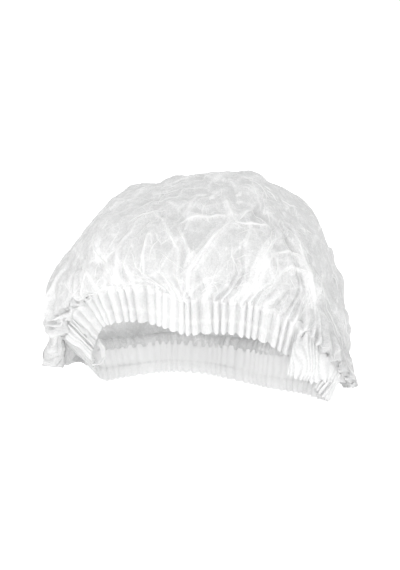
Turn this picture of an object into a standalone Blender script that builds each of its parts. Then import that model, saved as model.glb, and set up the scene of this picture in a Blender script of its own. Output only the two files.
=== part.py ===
"""Disposable bouffant cap of thin white nonwoven, puffed up and standing on its elasticated hem.

The cap is one gathered sheet with two bands for a hem. The rear band stands on the ground and the
front band is lifted, so that the mouth between them opens low and wide. The bands meet in a welded
bunch of pleats at each side. Left and right are as seen from the front.

Metres, +Z up, +X to the right, +Y towards the back. The origin is on the ground, under the middle.
"""

import math
from collections import namedtuple

import bmesh
import bpy
from mathutils import Vector

# Mouth: the ring that the hem's folded edge makes
MOUTH_WIDTH = 0.191
MOUTH_DEPTH = 0.116
MOUTH_LIFT = 0.068
MOUTH_SIDE = -0.0105
MOUTH_BACK = -0.017

# Crown: how far the puffed sheet reaches from its own axis, and how high it stands. It is at
# least as wide as the hem and its droop, and its middle is this far to the right of the axis.
CROWN_WIDTH = 0.244
CROWN_MIDDLE = -0.020
REACH_LEFT = CROWN_WIDTH / 2 - CROWN_MIDDLE
REACH_RIGHT = CROWN_WIDTH / 2 + CROWN_MIDDLE
REACH_FRONT = 0.091
REACH_BACK = 0.098
CROWN_HEIGHT = 0.181
APEX_SIDE = -0.010
SECTION_SQUARENESS = 2.3
APEX = Vector((APEX_SIDE, 0.0, CROWN_HEIGHT))

# Cloth. Above the hem's seam the sheet runs straight for the neck's length, and then it droops.
HEM_HEIGHT = 0.025
HEM_FOLLOWS_SLOPE = 0.25
SEAM_GAP = 0.0006
NECK_LENGTH = 0.003
SAG_OUT = 0.013
SAG_DROP = 0.020
CROWN_WALL = 0.0012
HEM_WALL = 0.0018
PIECE_GAP = 0.0003

# Elastic: a flat strip along the inner face of each band, this far up from the folded edge
ELASTIC_WIDTH = 0.004
ELASTIC_THICKNESS = 0.0008
ELASTIC_UP = 0.0105

# Ends, where the bands are bunched and welded, and the tab that curls from the left one
BUNCH_HALF_WIDTH = 0.010
BUNCH_HALF_DEPTH = 0.0055
BUNCH_PLEATS = 9
BUNCH_FLUTE = 0.28
BUNCH_PINCH = 0.20
BUNCH_CLEARANCE = 0.0007
BUNCH_TOP = 0.97
BUNCH_ROWS = 4
TAB_WIDTH = 0.007
TAB_LENGTH = 0.019
TAB_STAND_OFF = 0.0005
TAB_WALL = 0.0010
TAB_CURL_DEGREES = 165
TAB_STEPS = 12

# Ruffles, folds and billows
REAR_RUFFLES = 24
FRONT_RUFFLES = 36
RUFFLE_DEPTH = 0.0032
GATHER_LENGTH = 0.055
FOLD_HEIGHT = 0.0055
FOLD_WIDTH = 0.008
BILLOW_DEPTH = 0.0020
BILLOW_START = 0.03
BILLOW_END = 0.21
COARSE_BILLOWS = 9
FINE_BILLOWS = 14
BILLOW_TWIST = 22.0

# The rim, a row for each stretch of the hem's folded edge, from the right end round the back.
# across and back are shares of half the mouth's width and depth, and low is a share of its lift.
# lean is how far the hem leans out from upright, in degrees, and tall is a share of its height.
# out and sag are shares of how far the sheet puffs out and droops past the neck.
RimRow = namedtuple("RimRow", "across back low lean tall out sag")
RIM = (
    RimRow(0.88, -0.40, 0.00, 34, 1.10, 0.7, 0.90),
    RimRow(0.76, -0.12, 0.00, 20, 1.12, 0.9, 1.00),
    RimRow(0.50, 0.14, 0.00, 8, 1.10, 1.2, 1.00),
    RimRow(0.22, 0.52, 0.00, 5, 1.02, 1.1, 1.00),
    RimRow(-0.06, 0.88, 0.01, 5, 0.92, 1.0, 1.00),
    RimRow(-0.38, 1.00, 0.01, 5, 0.92, 1.0, 1.00),
    RimRow(-0.68, 0.80, 0.00, 8, 0.96, 1.0, 1.00),
    RimRow(-0.90, 0.54, 0.00, 25, 1.00, 1.0, 0.80),
    RimRow(-1.00, 0.26, 0.17, 50, 1.00, 0.9, 0.30),
    RimRow(-0.99, -0.04, 0.53, 60, 1.00, 0.8, 0.00),
    RimRow(-0.93, -0.32, 0.84, 44, 1.00, 0.7, -0.15),
    RimRow(-0.76, -0.57, 0.98, 20, 1.00, 0.6, -0.25),
    RimRow(-0.51, -0.79, 1.00, 8, 1.00, 0.5, -0.30),
    RimRow(-0.24, -0.93, 0.91, 5, 1.06, 0.5, -0.30),
    RimRow(0.07, -1.00, 0.94, 5, 1.00, 0.5, -0.30),
    RimRow(0.36, -0.98, 0.85, 8, 1.00, 0.5, -0.30),
    RimRow(0.59, -0.90, 0.66, 20, 1.06, 0.6, -0.25),
    RimRow(0.76, -0.78, 0.38, 42, 1.12, 0.8, -0.10),
    RimRow(0.88, -0.62, 0.13, 48, 1.12, 0.7, 0.30),
)
LEFT_END_ROW = 9
RIGHT_END_ROW = 18

# The crown's sections, from the girth to near the top. left, right, front and back are shares of
# the reaches, and each has beside it its height as a share of the crown's.
Section = namedtuple("Section", "left left_up right right_up front front_up back back_up")
SECTIONS = (
    Section(1.00, 0.32, 1.00, 0.12, 0.98, 0.66, 0.94, 0.14),
    Section(1.00, 0.43, 0.97, 0.25, 1.00, 0.73, 1.00, 0.30),
    Section(0.93, 0.54, 0.89, 0.40, 0.95, 0.80, 0.98, 0.46),
    Section(0.81, 0.67, 0.81, 0.56, 0.84, 0.86, 0.88, 0.62),
    Section(0.68, 0.79, 0.71, 0.71, 0.67, 0.91, 0.70, 0.76),
    Section(0.48, 0.90, 0.53, 0.85, 0.46, 0.955, 0.47, 0.88),
    Section(0.26, 0.97, 0.29, 0.95, 0.23, 0.985, 0.22, 0.965),
)
# The main folds, a row for each, as the cap is seen from the front. Each runs from its foot to
# its tip, in shares of half the crown's width from its middle and of its height.
Fold = namedtuple("Fold", "foot_side foot_up tip_side tip_up height width")
FOLDS = (
    Fold(-0.22, 0.50, 0.02, 0.68, 1.0, 1.0),
    Fold(0.02, 0.68, 0.19, 0.82, 0.9, 1.0),
    Fold(0.26, 0.50, 0.40, 0.66, 0.9, 1.1),
    Fold(0.40, 0.66, 0.50, 0.78, 0.7, 1.0),
    Fold(0.72, 0.42, 0.64, 0.78, 1.0, 0.9),
    Fold(-0.46, 0.54, -0.62, 0.78, 0.9, 1.1),
    Fold(-0.62, 0.60, -0.90, 0.66, 0.6, 1.0),
    Fold(-0.14, 0.82, 0.20, 0.84, 0.5, 0.8),
    Fold(0.20, 0.82, 0.30, 0.93, 0.6, 0.8),
    Fold(0.36, 0.52, 0.60, 0.60, 0.7, 0.8),
)
FOLDS_END_BACK = 0.01
FOLDS_FADE = 0.03

# The crown's rings of corners: how far up each is from the neck, as a share of the way to the
# top, and how many columns it has to a ruffle. The foot is below the neck, just over the hem.
CrownRow = namedtuple("CrownRow", "up columns")
FOOT = -1
CROWN_ROWS = (
    CrownRow(FOOT, 4),
    CrownRow(0.00, 4),
    CrownRow(0.03, 4),
    CrownRow(0.07, 2),
    CrownRow(0.115, 2),
    CrownRow(0.165, 2),
    CrownRow(0.22, 2),
    CrownRow(0.28, 2),
    CrownRow(0.35, 2),
    CrownRow(0.43, 2),
    CrownRow(0.51, 1),
    CrownRow(0.59, 1),
    CrownRow(0.67, 1),
    CrownRow(0.75, 1),
    CrownRow(0.83, 0.5),
    CrownRow(0.90, 0.5),
    CrownRow(0.96, 0.5),
)
HEM_ROWS = 2
HEM_COLUMNS = 4
ELASTIC_COLUMNS = 2
RIM_SPAN_SAMPLES = 30
LINE_SPAN_SAMPLES = 10

MATERIALS = {}


def cloth(name, colour, roughness):
    """The named matt material, made once."""
    if name not in MATERIALS:
        material = bpy.data.materials.new(name)
        material.use_nodes = True
        shader = material.node_tree.nodes["Principled BSDF"]
        shader.inputs["Base Color"].default_value = (*colour, 1.0)
        shader.inputs["Roughness"].default_value = roughness
        shader.inputs["Metallic"].default_value = 0.0
        MATERIALS[name] = material
    return MATERIALS[name]


def smooth_step(value):
    """0 below 0, 1 above 1, and a smooth rise between."""
    value = min(1.0, max(0.0, value))
    return value * value * (3.0 - 2.0 * value)


def blend(before, start, end, after, share):
    """A Catmull-Rom value this share of the way from start to end."""
    return 0.5 * (
        2.0 * start
        + (end - before) * share
        + (2.0 * before - 5.0 * start + 4.0 * end - after) * share**2
        + (3.0 * start - before - 3.0 * end + after) * share**3
    )


def running_lengths(points):
    """How far along its own line each of the points is."""
    lengths = [0.0]
    for a, b in zip(points, points[1:]):
        lengths.append(lengths[-1] + (b - a).length)
    return lengths


def section_point(section, turn):
    """The point of a crown section in the direction turn, in radians from +X."""
    cosine, sine = math.cos(turn), math.sin(turn)
    power = 2.0 / SECTION_SQUARENESS
    side = math.copysign(abs(cosine) ** power, cosine)
    back = math.copysign(abs(sine) ** power, sine)
    x = side * (section.right * REACH_RIGHT if side > 0 else section.left * REACH_LEFT)
    y = back * (section.back * REACH_BACK if back > 0 else section.front * REACH_FRONT)
    side_up = section.right_up if side > 0 else section.left_up
    back_up = section.back_up if back > 0 else section.front_up
    up = side_up + (back_up - side_up) * abs(sine) ** 1.5
    return Vector((x, y, up * CROWN_HEIGHT))


class Rim:
    """The hem's folded edge: a closed curve, read by share of its length."""

    def __init__(self):
        self.rows = []
        for i in range(len(RIM)):
            near = [RIM[(i + step) % len(RIM)] for step in (-1, 0, 1, 2)]
            for j in range(RIM_SPAN_SAMPLES):
                values = [blend(*column, j / RIM_SPAN_SAMPLES) for column in zip(*near)]
                self.rows.append(RimRow(*values))
        points = [self.place(row) for row in self.rows]
        lengths = running_lengths(points + points[:1])
        self.length = lengths[-1]
        self.shares = [length / self.length for length in lengths]

    @staticmethod
    def place(row):
        return Vector((
            MOUTH_SIDE + row.across * MOUTH_WIDTH / 2,
            MOUTH_BACK + row.back * MOUTH_DEPTH / 2,
            max(row.low, 0.0) * MOUTH_LIFT,
        ))

    def row_at(self, share):
        """The rim table's values at this share of the way round."""
        share %= 1.0
        low, high = 0, len(self.rows)
        while high - low > 1:
            middle = (low + high) // 2
            if self.shares[middle] <= share:
                low = middle
            else:
                high = middle
        part = (share - self.shares[low]) / (self.shares[low + 1] - self.shares[low])
        here, there = self.rows[low], self.rows[(low + 1) % len(self.rows)]
        return RimRow(*(a + (b - a) * part for a, b in zip(here, there)))

    def share_of_row(self, number):
        """How far round the rim the table's numbered row is."""
        return self.shares[RIM_SPAN_SAMPLES * number]


class Line:
    """A line of the cloth, from the hem's folded edge up to the top of the crown."""

    def __init__(self, rim, share):
        step = 1.0 / len(rim.rows)
        row = rim.row_at(share)
        edge = rim.place(row)
        along = rim.place(rim.row_at(share + step)) - rim.place(rim.row_at(share - step))
        outward = Vector((along.y, -along.x, 0.0)).normalized()
        lean = math.radians(row.lean)
        rise = Vector((0.0, 0.0, math.cos(lean))) + outward * math.sin(lean)
        slope = rise.dot(along) / along.length_squared
        rise = (rise - along * slope * HEM_FOLLOWS_SLOPE).normalized()
        self.along = along.normalized()
        self.rise = rise
        self.ground = HEM_WALL / 2 * math.sin(lean)
        self.hem = row.tall * HEM_HEIGHT
        seam = edge + rise * self.hem
        neck = seam + rise * NECK_LENGTH
        puff = outward * row.out * SAG_OUT
        shoulder = neck + 0.5 * puff + rise * 0.3 * row.out * SAG_OUT
        sag = neck + puff - Vector((0.0, 0.0, row.sag * SAG_DROP))
        turn = math.atan2(row.back, row.across)
        knots = [shoulder - rise * 2.0 * (shoulder - neck).length, neck, shoulder, sag]
        knots += [section_point(section, turn) for section in SECTIONS]
        knots += [APEX, 2.0 * APEX - knots[-1]]
        self.points = [edge, seam]
        for i in range(1, len(knots) - 2):
            for j in range(LINE_SPAN_SAMPLES):
                self.points.append(blend(*knots[i - 1:i + 3], j / LINE_SPAN_SAMPLES))
        self.points.append(APEX)
        self.lengths = running_lengths(self.points)
        self.length = self.lengths[-1]

    def at(self, distance):
        """The point this far up from the folded edge."""
        low = 0
        while low < len(self.lengths) - 2 and self.lengths[low + 1] <= distance:
            low += 1
        span = self.lengths[low + 1] - self.lengths[low]
        part = min(1.0, (distance - self.lengths[low]) / span)
        return self.points[low].lerp(self.points[low + 1], part)


class Sheet:
    """The whole gathered cloth, with its places read by share of the way round and distance up."""

    def __init__(self):
        self.rim = Rim()
        self.right_end = self.rim.share_of_row(RIGHT_END_ROW)
        self.left_end = self.rim.share_of_row(LEFT_END_ROW)
        self.rear_span = (self.left_end - self.right_end) % 1.0
        self.lines = {}

    def line(self, share):
        key = round(share % 1.0, 6)
        if key not in self.lines:
            self.lines[key] = Line(self.rim, share)
        return self.lines[key]

    def ruffle(self, share):
        """The number of ruffles from the right end to this share, round the back."""
        past = (share - self.right_end) % 1.0
        if past <= self.rear_span:
            return REAR_RUFFLES * past / self.rear_span
        return REAR_RUFFLES + FRONT_RUFFLES * (past - self.rear_span) / (1.0 - self.rear_span)

    def share(self, ruffle):
        """The share of the way round at this many ruffles from the right end."""
        if ruffle <= REAR_RUFFLES:
            return self.right_end + self.rear_span * ruffle / REAR_RUFFLES
        front = (ruffle - REAR_RUFFLES) / FRONT_RUFFLES
        return self.right_end + self.rear_span + (1.0 - self.rear_span) * front

    def normal(self, share, distance):
        """The outward normal of the cloth without its ruffles."""
        step, rise = 0.004, 0.002
        here = self.line(share)
        up = here.at(min(here.length, distance + rise)) - here.at(max(0.0, distance - rise))
        ahead, behind = self.line(share + step), self.line(share - step)
        level = distance / here.length
        across = ahead.at(level * ahead.length) - behind.at(level * behind.length)
        return across.cross(up).normalized()

    def fold_lift(self, place):
        """How far the charted folds lift the cloth at this place."""
        facing = smooth_step((FOLDS_END_BACK - place.y) / FOLDS_FADE)
        if facing == 0.0:
            return 0.0
        half_width = CROWN_WIDTH / 2
        spot = Vector((place.x - CROWN_MIDDLE, place.z))
        lift = 0.0
        for fold in FOLDS:
            foot = Vector((fold.foot_side * half_width, fold.foot_up * CROWN_HEIGHT))
            tip = Vector((fold.tip_side * half_width, fold.tip_up * CROWN_HEIGHT))
            run = tip - foot
            part = min(1.0, max(0.0, (spot - foot).dot(run) / run.length_squared))
            aside = (spot - foot - run * part).length / (fold.width * FOLD_WIDTH)
            lift += fold.height * FOLD_HEIGHT * math.exp(-aside * aside)
        return lift * facing

    def billow_lift(self, share, past_hem):
        """Broad soft waves of the cloth that rise above the gathers and die out at the top."""
        fade = smooth_step(past_hem / BILLOW_START)
        fade *= smooth_step((BILLOW_END - past_hem) / (BILLOW_END - BILLOW_START) * 2.0)
        turn = 2.0 * math.pi * share
        wave = math.sin(COARSE_BILLOWS * turn)
        wave += 0.7 * math.sin(FINE_BILLOWS * turn + past_hem * BILLOW_TWIST)
        return BILLOW_DEPTH * fade * wave

    def place(self, share, distance, lowest):
        """A place on the ruffled, folded and billowed cloth, kept from sinking below lowest."""
        line = self.line(share)
        spot = line.at(distance)
        past_hem = distance - line.hem
        ruffled = 1.0 - smooth_step(past_hem / GATHER_LENGTH)
        # The columns lie an eighth of a ruffle to each side of its flat crest and its hollow
        wave = math.sqrt(2.0) * math.cos(2.0 * math.pi * (self.ruffle(share) + 0.125))
        wave = max(-1.0, min(1.0, wave))
        lift = RUFFLE_DEPTH / 2 * ruffled * wave + self.billow_lift(share, past_hem)
        lift += self.fold_lift(spot) * smooth_step(past_hem / NECK_LENGTH / 3.0)
        spot = spot + self.normal(share, distance) * lift
        spot.z = max(spot.z, lowest)
        return spot


def object_from_rings(name, rings, closed_round=False, top=None, capped=False):
    """A surface lofted through rings of points, each as long as the last or half of that."""
    mesh = bmesh.new()
    made = [[mesh.verts.new(point) for point in ring] for ring in rings]
    for lower, upper in zip(made, made[1:]):
        ratio = len(lower) // len(upper)
        spans = len(upper) if closed_round else len(upper) - 1
        for i in range(spans):
            left, right = upper[i], upper[(i + 1) % len(upper)]
            foot = [lower[(i * ratio + j) % len(lower)] for j in range(ratio + 1)]
            if ratio == 1:
                mesh.faces.new((foot[0], foot[1], right, left))
            else:
                mesh.faces.new((foot[0], foot[1], left))
                mesh.faces.new((foot[1], right, left))
                mesh.faces.new((foot[1], foot[2], right))
    if top is not None:
        tip = mesh.verts.new(top)
        last = made[-1]
        for i in range(len(last)):
            mesh.faces.new((last[i], last[(i + 1) % len(last)], tip))
    if capped:
        mesh.faces.new(made[0][::-1])
        mesh.faces.new(made[-1])
    data = bpy.data.meshes.new(name)
    mesh.to_mesh(data)
    mesh.free()
    data.shade_smooth()
    return bpy.data.objects.new(name, data)


def thicken(obj, wall):
    """Gives an open surface its wall, half to each side."""
    solidify = obj.modifiers.new("Wall", "SOLIDIFY")
    solidify.thickness = wall
    solidify.offset = 0.0
    solidify.use_quality_normals = True
    return obj


def crown(sheet):
    """The puffed sheet above the hem, with fewer columns as the gathers run out."""
    rings = []
    for row in CROWN_ROWS:
        ring = []
        for i in range(int((REAR_RUFFLES + FRONT_RUFFLES) * row.columns)):
            share = sheet.share(i / row.columns)
            line = sheet.line(share)
            neck = line.hem + NECK_LENGTH
            distance = neck + row.up * (line.length - neck)
            if row.up == FOOT:
                distance = line.hem + SEAM_GAP
            ring.append(sheet.place(share, distance, CROWN_WALL / 2))
        rings.append(ring)
    return thicken(object_from_rings("crown", rings, closed_round=True, top=APEX), CROWN_WALL)


def band_shares(sheet, start, end, columns):
    """Shares of the way round for a band between two ends, with room for the bunch at each."""
    room = (BUNCH_HALF_WIDTH + BUNCH_CLEARANCE) / sheet.rim.length
    first, last = sheet.share(start) + room, sheet.share(end) - room
    inner = [sheet.share(start + i / columns) for i in range(int((end - start) * columns) + 1)]
    clear = 0.4 * (inner[1] - inner[0])
    return [first] + [share for share in inner if first + clear < share < last - clear] + [last]


def band(sheet, name, start, end):
    """One ruffled band of the hem, from its folded edge to the seam."""
    rings = []
    for level in range(HEM_ROWS + 1):
        ring = []
        for share in band_shares(sheet, start, end, HEM_COLUMNS):
            distance = sheet.line(share).hem * level / HEM_ROWS
            ring.append(sheet.place(share, distance, sheet.line(share).ground))
        rings.append(ring)
    return thicken(object_from_rings(name, rings), HEM_WALL)


def elastic(sheet, name, start, end):
    """The flat strip that draws a band in, against the inner crests of its ruffles."""
    inward = RUFFLE_DEPTH / 2 + HEM_WALL / 2 + PIECE_GAP + ELASTIC_THICKNESS / 2
    rings = []
    for side in (-1, 1):
        ring = []
        for share in band_shares(sheet, start, end, ELASTIC_COLUMNS):
            distance = ELASTIC_UP + side * ELASTIC_WIDTH / 2
            spot = sheet.line(share).at(distance)
            ring.append(spot - sheet.normal(share, distance) * inward)
        rings.append(ring)
    return thicken(object_from_rings(name, rings), ELASTIC_THICKNESS)


def end_bunch(sheet, name, share):
    """The pleats bunched and welded where the bands meet, fluted and pinched at the middle."""
    rings = []
    for level in range(BUNCH_ROWS + 1):
        up = BUNCH_TOP * level / BUNCH_ROWS
        slim = 1.0 - BUNCH_PINCH * math.sin(math.pi * up)
        ring = []
        for i in range(BUNCH_PLEATS * 4):
            turn = math.pi * i / (BUNCH_PLEATS * 2)
            reach = slim * (1.0 - BUNCH_FLUTE * (0.5 - 0.5 * math.cos(BUNCH_PLEATS * turn)))
            aside = reach * math.cos(turn) * BUNCH_HALF_WIDTH / sheet.rim.length
            distance = sheet.line(share + aside).hem * up
            inward = sheet.normal(share + aside, distance) * -reach * math.sin(turn)
            ring.append(sheet.line(share + aside).at(distance) + inward * BUNCH_HALF_DEPTH)
        rings.append(ring)
    return object_from_rings(name, rings, closed_round=True, capped=True)


def end_tab(sheet, name, share):
    """The free end of the weld strip, curling away from the bunch into the mouth."""
    line = sheet.line(share)
    middle = line.hem / 2
    inward = -sheet.normal(share, middle)
    waist = BUNCH_HALF_DEPTH * (1.0 - BUNCH_PINCH)
    start = line.at(middle) + inward * (waist + TAB_STAND_OFF + TAB_WALL / 2)
    curl = math.radians(TAB_CURL_DEGREES)
    radius = TAB_LENGTH / curl
    rings = []
    for side in (-1, 1):
        ring = []
        for i in range(TAB_STEPS + 1):
            turn = curl * i / TAB_STEPS
            bend = inward * (1.0 - math.cos(turn)) - line.rise * math.sin(turn)
            ring.append(start + bend * radius + line.along * side * TAB_WIDTH / 2)
        rings.append(ring)
    return thicken(object_from_rings(name, rings), TAB_WALL)


def centre_over_origin(objects):
    """Moves the pieces together along the ground until their middle is over the origin."""
    places = [vertex.co for obj in objects for vertex in obj.data.vertices]
    middle_x = (min(place.x for place in places) + max(place.x for place in places)) / 2
    middle_y = (min(place.y for place in places) + max(place.y for place in places)) / 2
    for obj in objects:
        obj.location = (-middle_x, -middle_y, 0.0)


def main():
    for obj in list(bpy.data.objects):
        bpy.data.objects.remove(obj, do_unlink=True)
    cap = bpy.data.collections.new("disposable_cap")
    bpy.context.scene.collection.children.link(cap)

    nonwoven = cloth("white_nonwoven", (0.86, 0.87, 0.88), 0.75)
    gathered = cloth("gathered_nonwoven", (0.93, 0.94, 0.95), 0.8)
    rubber = cloth("white_elastic", (0.88, 0.88, 0.87), 0.6)
    welded = cloth("welded_nonwoven", (0.95, 0.95, 0.96), 0.5)

    sheet = Sheet()
    rear, front = (0, REAR_RUFFLES), (REAR_RUFFLES, REAR_RUFFLES + FRONT_RUFFLES)
    pieces = (
        (crown(sheet), nonwoven),
        (band(sheet, "rear_hem", *rear), gathered),
        (band(sheet, "front_hem", *front), gathered),
        (elastic(sheet, "rear_elastic", *rear), rubber),
        (elastic(sheet, "front_elastic", *front), rubber),
        (end_bunch(sheet, "left_bunch", sheet.left_end), welded),
        (end_bunch(sheet, "right_bunch", sheet.right_end), welded),
        (end_tab(sheet, "left_tab", sheet.left_end), welded),
    )
    centre_over_origin([obj for obj, material in pieces])
    for obj, material in pieces:
        obj.data.materials.append(material)
        cap.objects.link(obj)


main()
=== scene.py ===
import math
from collections import namedtuple

import bpy
import numpy as np
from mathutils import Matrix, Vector, kdtree


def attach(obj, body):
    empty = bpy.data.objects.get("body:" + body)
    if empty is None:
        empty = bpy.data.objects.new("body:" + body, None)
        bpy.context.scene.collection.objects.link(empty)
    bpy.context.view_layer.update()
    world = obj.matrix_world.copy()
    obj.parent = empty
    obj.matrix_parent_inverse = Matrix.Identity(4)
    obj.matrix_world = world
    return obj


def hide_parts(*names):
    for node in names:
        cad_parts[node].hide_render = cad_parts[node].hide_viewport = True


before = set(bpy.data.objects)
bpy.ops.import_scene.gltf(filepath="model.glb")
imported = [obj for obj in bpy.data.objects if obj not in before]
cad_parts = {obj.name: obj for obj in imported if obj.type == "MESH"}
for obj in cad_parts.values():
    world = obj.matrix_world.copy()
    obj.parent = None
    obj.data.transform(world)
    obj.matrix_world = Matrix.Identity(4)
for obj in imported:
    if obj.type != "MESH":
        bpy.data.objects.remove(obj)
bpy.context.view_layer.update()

# The table and the light it is seen in. A plain white table top under soft lamps from the upper
# left, low in front, above and behind, as in a light tent. The camera looks down a little on the
# cap's open front.
CAMERA_DISTANCE = 2.5
CAMERA_DEGREES_UP = 14.0
VIEW_HEIGHT = 0.456
AIM = Vector((-0.0048, 0.0, 0.0841))

up_angle = math.radians(CAMERA_DEGREES_UP)
camera_data = bpy.data.cameras.new("camera")
camera = bpy.data.objects.new("camera", camera_data)
bpy.context.scene.collection.objects.link(camera)
camera_data.sensor_fit = "VERTICAL"
camera_data.sensor_height = 36.0
camera_data.lens = 36.0 * CAMERA_DISTANCE / VIEW_HEIGHT
camera_data.clip_end = 50.0
towards_camera = Vector((0.0, -math.cos(up_angle), math.sin(up_angle)))
camera.location = AIM + towards_camera * CAMERA_DISTANCE
camera.rotation_euler = (math.pi / 2 - up_angle, 0.0, 0.0)
bpy.context.scene.camera = camera
bpy.context.scene.view_settings.view_transform = "Standard"


def soft_lamp(name, place, width, watts):
    """A square lamp of this width that faces the cap."""
    data = bpy.data.lights.new(name, "AREA")
    data.shape = "SQUARE"
    data.size = width
    data.energy = watts
    lamp = bpy.data.objects.new(name, data)
    lamp.location = place
    lamp.rotation_euler = (Vector((0, 0, 0.09)) - Vector(place)).to_track_quat("-Z", "Y").to_euler()
    bpy.context.scene.collection.objects.link(lamp)


soft_lamp("key_lamp", (-0.8, -0.7, 1.4), 0.5, 5.5)
soft_lamp("fill_lamp", (0.1, -1.7, 0.06), 0.5, 13.0)
soft_lamp("top_lamp", (0.2, 0.3, 1.6), 0.9, 7.0)
soft_lamp("back_lamp", (1.0, 1.4, 0.5), 0.6, 4.0)

sky = bpy.data.worlds.new("studio")
bpy.context.scene.world = sky
sky.use_nodes = True
sky.node_tree.nodes["Background"].inputs["Color"].default_value = (1.0, 1.0, 1.0, 1.0)
sky.node_tree.nodes["Background"].inputs["Strength"].default_value = 0.60

table_mesh = bpy.data.meshes.new("table_top")
half = 12.0
table_mesh.from_pydata(
    [(-half, -half, 0.0), (half, -half, 0.0), (half, half, 0.0), (-half, half, 0.0)],
    [],
    [(0, 1, 2, 3)],
)
table = bpy.data.objects.new("table_top", table_mesh)
bpy.context.scene.collection.objects.link(table)
table_white = bpy.data.materials.new("table_white")
table_white.use_nodes = True
table_shader = table_white.node_tree.nodes["Principled BSDF"]
table_shader.inputs["Base Color"].default_value = (0.9, 0.9, 0.9, 1.0)
table_shader.inputs["Roughness"].default_value = 0.9
table_shader.inputs["Specular IOR Level"].default_value = 0.0
table_shader.inputs["Emission Color"].default_value = (1.0, 1.0, 1.0, 1.0)
table_shader.inputs["Emission Strength"].default_value = 0.55
table_mesh.materials.append(table_white)

# The cloth. One round sheet of spunbond nonwoven, about 53 cm across when flat, pleated all round
# its edge into two bands. Its lines run from the bands' folded edge up over the puffed crown, which
# is fuller at the upper left, and all the pieces below are laid on them.
MOUTH_WIDTH, MOUTH_DEPTH, MOUTH_LIFT = 0.191, 0.116, 0.068
MOUTH_SIDE, MOUTH_BACK = -0.0105, -0.017
REACH_LEFT, REACH_RIGHT, REACH_FRONT, REACH_BACK = 0.142, 0.102, 0.091, 0.098
CROWN_HEIGHT = 0.181
SECTION_SQUARENESS = 2.3
HEM_HEIGHT, HEM_FOLLOWS_SLOPE, NECK_LENGTH = 0.025, 0.25, 0.003
SAG_OUT, SAG_DROP = 0.013, 0.020
APEX = np.array((-0.010, 0.0, CROWN_HEIGHT))
TO_ORIGIN = np.array((0.01683, 0.00012, 0.0))
REAR_RUFFLES, FRONT_RUFFLES = 24, 36
RIGHT_END_ROW, LEFT_END_ROW = 18, 9
RIM_STEPS, LINE_STEPS = 30, 14
REAR_COLUMNS, FRONT_COLUMNS = 14, 12
HEM_ROWS, CROWN_ROWS = 14, 124
TOP_LOWERED = 0.0035
RIGHT_LIMIT, RIGHT_GIVE = 0.109, 0.009
FULLER_SIDE, FULLER_UP, FULLER_WIDE = -0.066, 0.140, 0.040
FULLER_PUSH = np.array((-0.0035, 0.0, 0.0060))

# across, back, low, lean, tall, out, sag, from the right end of the bands round the back
RIM = np.array((
    (0.88, -0.40, 0.00, 24, 1.10, 1.1, 1.05),
    (0.76, -0.12, 0.00, 20, 1.12, 1.0, 1.05),
    (0.50, 0.14, 0.00, 8, 1.10, 1.2, 1.00),
    (0.22, 0.52, 0.00, 5, 1.02, 1.1, 1.00),
    (-0.06, 0.88, 0.01, 5, 0.92, 1.0, 1.00),
    (-0.38, 1.00, 0.01, 5, 0.92, 1.0, 1.00),
    (-0.68, 0.80, 0.00, 8, 0.96, 1.0, 1.00),
    (-0.90, 0.54, 0.00, 22, 1.00, 1.1, 0.95),
    (-1.00, 0.26, 0.17, 36, 1.00, 1.1, 0.85),
    (-0.99, -0.04, 0.53, 40, 1.00, 1.0, 0.60),
    (-0.93, -0.32, 0.84, 32, 1.00, 0.8, 0.20),
    (-0.76, -0.57, 0.98, 16, 1.00, 0.6, -0.15),
    (-0.51, -0.79, 1.00, 8, 1.00, 0.5, -0.30),
    (-0.24, -0.93, 0.91, 5, 1.06, 0.5, -0.30),
    (0.07, -1.00, 0.94, 5, 1.00, 0.5, -0.30),
    (0.36, -0.98, 0.85, 8, 1.00, 0.5, -0.30),
    (0.59, -0.90, 0.66, 14, 1.06, 0.6, -0.25),
    (0.76, -0.78, 0.38, 26, 1.12, 0.8, 0.10),
    (0.88, -0.62, 0.13, 28, 1.12, 1.1, 0.85),
))
# left, left_up, right, right_up, front, front_up, back, back_up, as shares of the reaches
SECTIONS = (
    (1.00, 0.32, 1.00, 0.12, 0.98, 0.66, 0.94, 0.14),
    (1.00, 0.43, 0.97, 0.25, 1.00, 0.73, 1.00, 0.30),
    (0.93, 0.54, 0.89, 0.40, 0.95, 0.80, 0.98, 0.46),
    (0.81, 0.67, 0.81, 0.56, 0.84, 0.86, 0.88, 0.62),
    (0.68, 0.79, 0.71, 0.71, 0.67, 0.91, 0.70, 0.76),
    (0.48, 0.90, 0.53, 0.85, 0.46, 0.955, 0.47, 0.88),
    (0.26, 0.97, 0.29, 0.95, 0.23, 0.985, 0.22, 0.965),
)


def eased(before, start, end, after, share):
    """A smooth value this share of the way from start to end."""
    return 0.5 * (
        2.0 * start
        + (end - before) * share
        + (2.0 * before - 5.0 * start + 4.0 * end - after) * share**2
        + (3.0 * start - before - 3.0 * end + after) * share**3
    )


def smooth(value):
    """0 below 0, 1 above 1, and a smooth rise between."""
    value = np.clip(value, 0.0, 1.0)
    return value * value * (3.0 - 2.0 * value)


def unit(vectors):
    """The same directions with a length of 1."""
    return vectors / np.maximum(np.linalg.norm(vectors, axis=-1, keepdims=True), 1e-9)


rim_rows = []
for i in range(len(RIM)):
    near = [RIM[(i + step) % len(RIM)] for step in (-1, 0, 1, 2)]
    for j in range(RIM_STEPS):
        rim_rows.append(eased(*near, j / RIM_STEPS))
rim_rows = np.array(rim_rows)


def edge_places(rows):
    """Where the folded edge is, for rows of the rim."""
    return np.stack((
        MOUTH_SIDE + rows[:, 0] * MOUTH_WIDTH / 2,
        MOUTH_BACK + rows[:, 1] * MOUTH_DEPTH / 2,
        np.maximum(rows[:, 2], 0.0) * MOUTH_LIFT,
    ), axis=1)


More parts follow.
